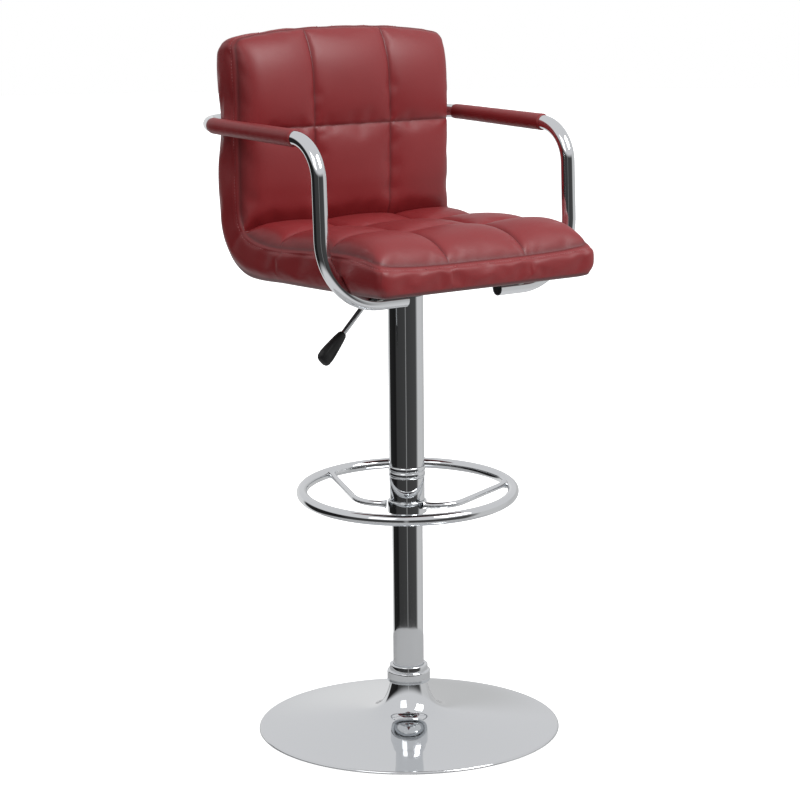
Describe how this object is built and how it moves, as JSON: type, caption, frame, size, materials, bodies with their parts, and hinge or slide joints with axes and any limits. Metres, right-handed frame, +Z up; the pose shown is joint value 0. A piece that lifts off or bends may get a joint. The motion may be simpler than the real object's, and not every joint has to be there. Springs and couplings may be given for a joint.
{
  "type": "swivel bar stool",
  "caption": "Height-adjustable swivel stool with a trumpet base, a gas-lift column, a foot ring, and a quilted padded seat with a back and looped armrests.",
  "frame": {"origin": "on the floor at the centre of the round base", "axes": "+Z up along the column; the sitter faces -Y; the height lever is on the -X side"},
  "size_m": [0.4792, 0.451, 1.04],
  "materials": {
    "chrome": "mirror chrome plate",
    "steel": "zinc-plated",
    "black_steel": "black powder coat",
    "cast_iron": "raw casting",
    "black_plastic": "fine moulded texture",
    "rubber": "matt",
    "plywood": "bent plywood",
    "foam": "cut foam",
    "covered_foam": "foam under a soft vinyl cover",
    "leatherette": "soft grained vinyl"
  },
  "bodies": {
    "base": {"base_plate": "chrome", "base_edge_ring": "rubber", "ballast_disc": "cast_iron", "base_column": "chrome", "base_lock_nut": "steel", "base_collar": "chrome", "column_guide": "black_plastic", "rod_seat": "steel", "rod_clip": "steel", "piston_rod": "steel", "piston": "black_plastic"},
    "lift": {"outer_tube": "chrome", "trim_band": "chrome", "footrest_sleeve": "chrome", "footrest_collar": "chrome", "slide_bush": "black_plastic", "swivel_bush": "black_plastic", "footrest_ring": "chrome", "footrest_strut_left": "chrome", "footrest_strut_right": "chrome", "collar_screw": "steel"},
    "seat": {"gas_cylinder": "black_steel", "rod_seal": "rubber", "taper_hub": "black_steel", "lever_pivot_pin": "steel", "mount_plate": "black_steel", "arm_plate": "black_steel", "shell_cover": "leatherette", "seat_board": "plywood", "seat_pad": "covered_foam", "back_pad": "covered_foam", "bend_foam": "foam", "mount_bolt_1": "steel", "mount_bolt_2": "steel", "mount_bolt_3": "steel", "mount_bolt_4": "steel", "arm_bolt_1": "steel", "arm_bolt_2": "steel", "arm_bolt_3": "steel", "arm_bolt_4": "steel", "arm_tube_left": "chrome", "arm_tube_right": "chrome", "arm_sleeve_left": "leatherette", "arm_sleeve_right": "leatherette", "arm_end_plug_left": "black_plastic", "arm_end_plug_right": "black_plastic", "arm_joiner": "chrome", "joiner_plate": "chrome", "joiner_screw_1": "steel", "joiner_screw_2": "steel"},
    "lever": {"lever_rod": "steel", "lever_handle": "black_plastic"},
    "valve": {"valve_pin": "steel"}
  },
  "joints": [
    {"name": "height", "type": "slide", "parent": "base", "child": "lift", "axis": [0, 0, 1], "range_m": [-0.115, 0.105]},
    {"name": "swivel", "type": "hinge", "parent": "lift", "child": "seat", "pos_m": [0, 0, 0.655], "axis": [0, 0, 1], "continuous": true},
    {"name": "lever_lift", "type": "hinge", "parent": "seat", "child": "lever", "pos_m": [-0.018, 0, 0.6665], "axis": [0, 1, 0], "range_deg": [0, 6], "stiffness_Nm_per_rad": 2, "springref_deg": -2.86},
    {"name": "valve_press", "type": "slide", "parent": "seat", "child": "valve", "axis": [0, 0, 1], "range_m": [-0.0025, 0]}
  ],
  "couplings": [
    {"joint": "valve_press", "follows": "lever_lift", "m_per_rad": -0.018}
  ]
}
